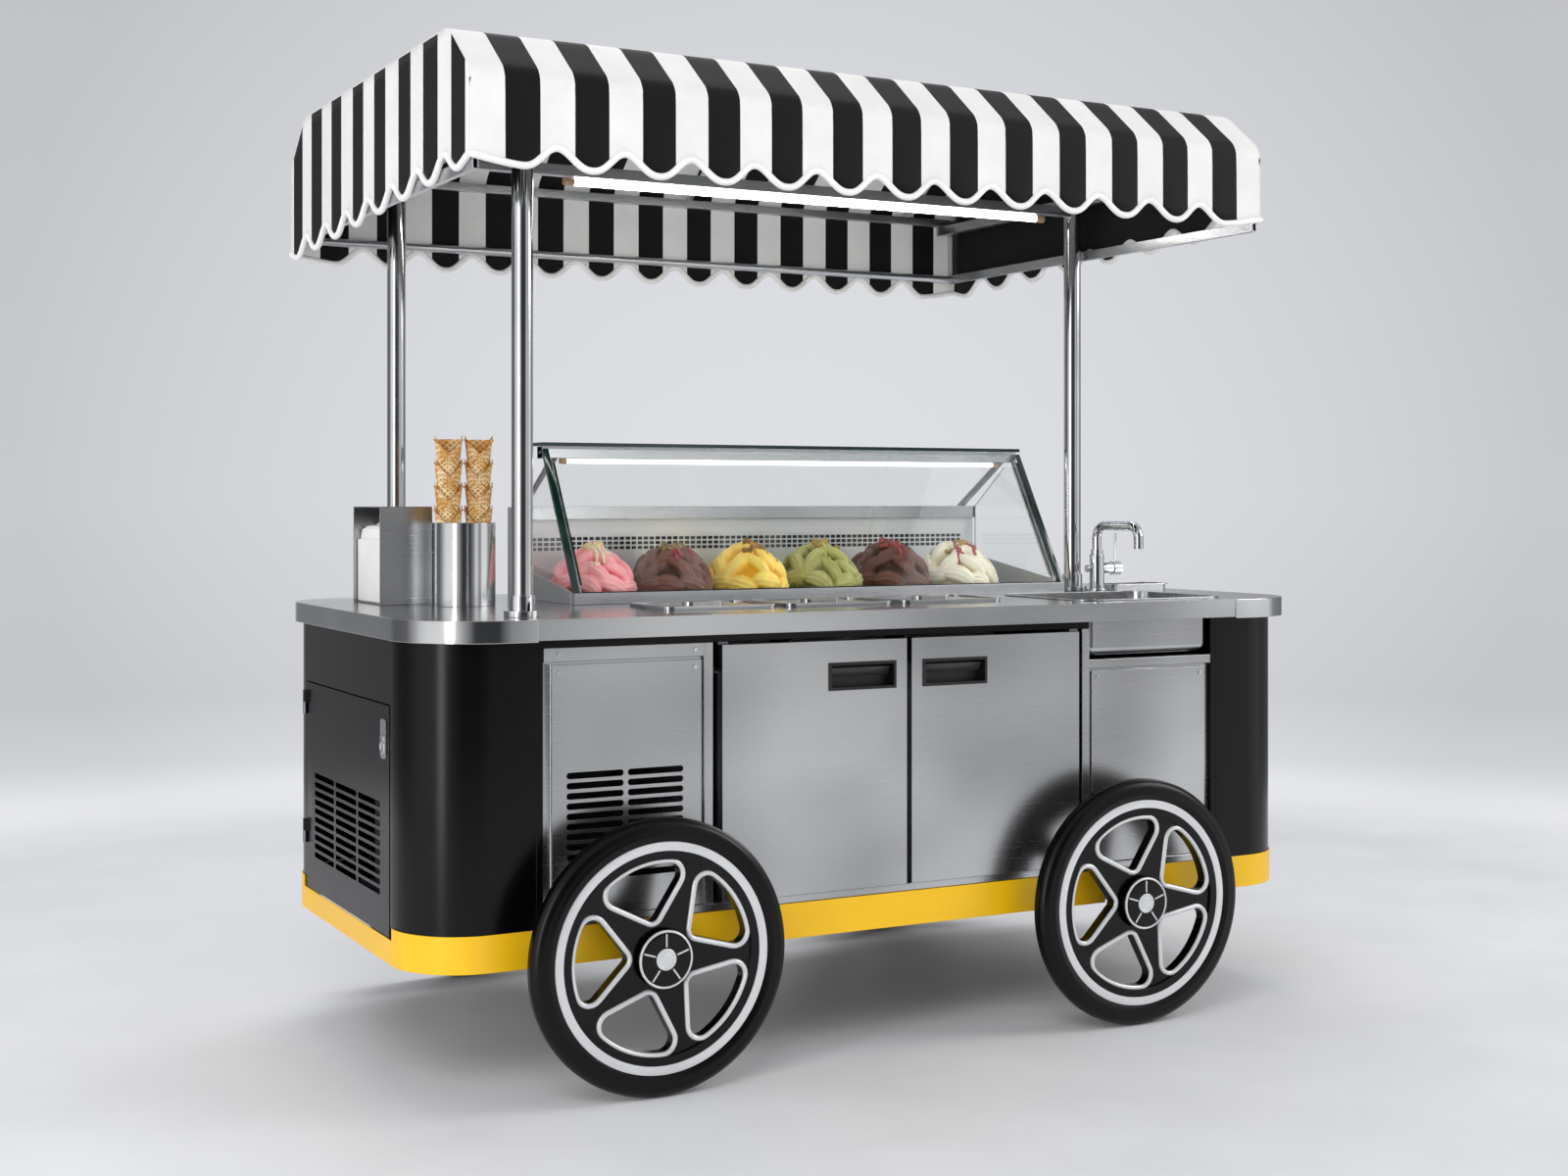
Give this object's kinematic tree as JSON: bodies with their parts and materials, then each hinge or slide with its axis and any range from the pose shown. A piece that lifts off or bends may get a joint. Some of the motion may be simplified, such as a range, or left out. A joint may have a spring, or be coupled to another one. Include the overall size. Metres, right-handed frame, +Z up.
{
  "type": "ice cream push cart",
  "caption": "Ice cream push cart on spoked wheels: gelato display, sink, cold cabinet and napkin and cone stands under a striped scalloped canopy",
  "frame": {"origin": "on the ground, under the middle of the worktop", "axes": "+Z up, -Y to the customer's side with the doors, -X to the end with the vented door"},
  "size_m": [2.164, 1.252, 2.024],
  "materials": {
    "tyre_rubber": "matt black rubber with a fine tread",
    "rim_black": "satin black cast wheel with bright edge lines",
    "hub_silver": "silver cap with black segments",
    "axle_steel": "plain steel",
    "chassis_black": "black paint",
    "band_yellow": "satin yellow paint",
    "panel_black": "satin black paint",
    "liner_aluminium": "embossed aluminium liner",
    "unit_grey": "dark grey casing and fins",
    "can_plastic": "milky plastic, taken as full of water",
    "frame_steel": "brushed stainless steel",
    "pull_plastic": "fine-grained black plastic",
    "seal_grey": "dark grey liner and seal",
    "tap_chrome": "polished chrome",
    "display_glass": "clear float glass with dark green edges",
    "frame_aluminium": "satin aluminium",
    "lamp_white": "lit white tube",
    "gelato": "soft scooped ice cream in several colours",
    "napkin_paper": "plain white paper",
    "cone_wafer": "golden waffle biscuit",
    "canopy_cloth": "coated cloth in black and white stripes"
  },
  "bodies": {
    "cart": {"axle_shafts": "axle_steel", "chassis_frame": "chassis_black", "plinth_band": "band_yellow", "corner_columns": "panel_black", "end_panels": "panel_black", "back_panel": "panel_black", "cold_cabinet": "liner_aluminium", "condensing_unit": "unit_grey", "water_cans": "can_plastic", "front_frame": "frame_steel", "vent_panel": "frame_steel", "service_panel": "frame_steel", "hinges": "axle_steel", "worktop": "frame_steel", "worktop_corner_caps": "frame_steel", "sink_bowl": "frame_steel", "faucet_body": "tap_chrome", "topping_pans": "frame_steel", "display_housing": "frame_steel", "display_glass": "display_glass", "display_frame": "frame_aluminium", "display_light": "lamp_white", "gelato_pans": "frame_steel", "gelato": "gelato", "dipper_tray": "frame_steel", "napkin_dispenser": "frame_steel", "napkin_stack": "napkin_paper", "cone_holder": "frame_steel", "waffle_cones": "cone_wafer", "canopy_posts": "frame_steel", "canopy_frame": "frame_aluminium", "canopy_light": "lamp_white", "canopy": "canopy_cloth", "panel_screws": "axle_steel"},
    "wheel_front_left": {"tyre_fl": "tyre_rubber", "wheel_rim_fl": "rim_black", "hub_cap_fl": "hub_silver"},
    "wheel_front_right": {"tyre_fr": "tyre_rubber", "wheel_rim_fr": "rim_black", "hub_cap_fr": "hub_silver"},
    "wheel_back_left": {"tyre_bl": "tyre_rubber", "wheel_rim_bl": "rim_black", "hub_cap_bl": "hub_silver"},
    "wheel_back_right": {"tyre_br": "tyre_rubber", "wheel_rim_br": "rim_black", "hub_cap_br": "hub_silver"},
    "door_left": {"fridge_door_left": "frame_steel", "door_handle_left": "pull_plastic", "door_liner_left": "seal_grey"},
    "door_right": {"fridge_door_right": "frame_steel", "door_handle_right": "pull_plastic", "door_liner_right": "seal_grey"},
    "end_door": {"end_door": "panel_black"},
    "end_latch": {"end_door_latch": "axle_steel"},
    "spout": {"faucet_spout": "tap_chrome"},
    "tap_lever": {"faucet_lever": "tap_chrome"},
    "lid_left": {"topping_lid_1": "frame_steel"},
    "lid_middle": {"topping_lid_2": "frame_steel"},
    "lid_right": {"topping_lid_3": "frame_steel"},
    "fan": {"condenser_fan": "unit_grey"}
  },
  "joints": [
    {"name": "front_left_roll", "type": "hinge", "parent": "cart", "child": "wheel_front_left", "pos_m": [-0.616, -0.561, 0.268], "axis": [0, 1, 0], "continuous": true},
    {"name": "front_right_roll", "type": "hinge", "parent": "cart", "child": "wheel_front_right", "pos_m": [0.533, -0.561, 0.268], "axis": [0, 1, 0], "continuous": true},
    {"name": "back_left_roll", "type": "hinge", "parent": "cart", "child": "wheel_back_left", "pos_m": [-0.616, 0.561, 0.268], "axis": [0, 1, 0], "continuous": true},
    {"name": "back_right_roll", "type": "hinge", "parent": "cart", "child": "wheel_back_right", "pos_m": [0.533, 0.561, 0.268], "axis": [0, 1, 0], "continuous": true},
    {"name": "door_left_hinge", "type": "hinge", "parent": "cart", "child": "door_left", "pos_m": [-0.432, -0.455, 0.598], "axis": [0, 0, -1], "range_deg": [0, 34]},
    {"name": "door_right_hinge", "type": "hinge", "parent": "cart", "child": "door_right", "pos_m": [0.432, -0.455, 0.598], "axis": [0, 0, 1], "range_deg": [0, 19]},
    {"name": "end_door_hinge", "type": "hinge", "parent": "cart", "child": "end_door", "pos_m": [-1.0752, 0.305, 0.524], "axis": [0, 0, -1], "range_deg": [0, 110]},
    {"name": "end_latch_turn", "type": "hinge", "parent": "end_door", "child": "end_latch", "pos_m": [-1.071, -0.268, 0.682], "axis": [1, 0, 0], "range_deg": [0, 90]},
    {"name": "spout_swivel", "type": "hinge", "parent": "cart", "child": "spout", "pos_m": [0.8, -0.058, 1.03], "axis": [0, 0, 1], "range_deg": [-90, 60]},
    {"name": "tap_lever_tilt", "type": "hinge", "parent": "cart", "child": "tap_lever", "pos_m": [0.856, -0.058, 0.978], "axis": [1, 0, 0], "range_deg": [-25, 25]},
    {"name": "lid_left_lift", "type": "slide", "parent": "cart", "child": "lid_left", "axis": [0, 0, 1], "range_m": [0, 0.12]},
    {"name": "lid_middle_lift", "type": "slide", "parent": "cart", "child": "lid_middle", "axis": [0, 0, 1], "range_m": [0, 0.12]},
    {"name": "lid_right_lift", "type": "slide", "parent": "cart", "child": "lid_right", "axis": [0, 0, 1], "range_m": [0, 0.12]},
    {"name": "fan_spin", "type": "hinge", "parent": "cart", "child": "fan", "pos_m": [-0.875, 0, 0.48], "axis": [1, 0, 0], "continuous": true}
  ]
}
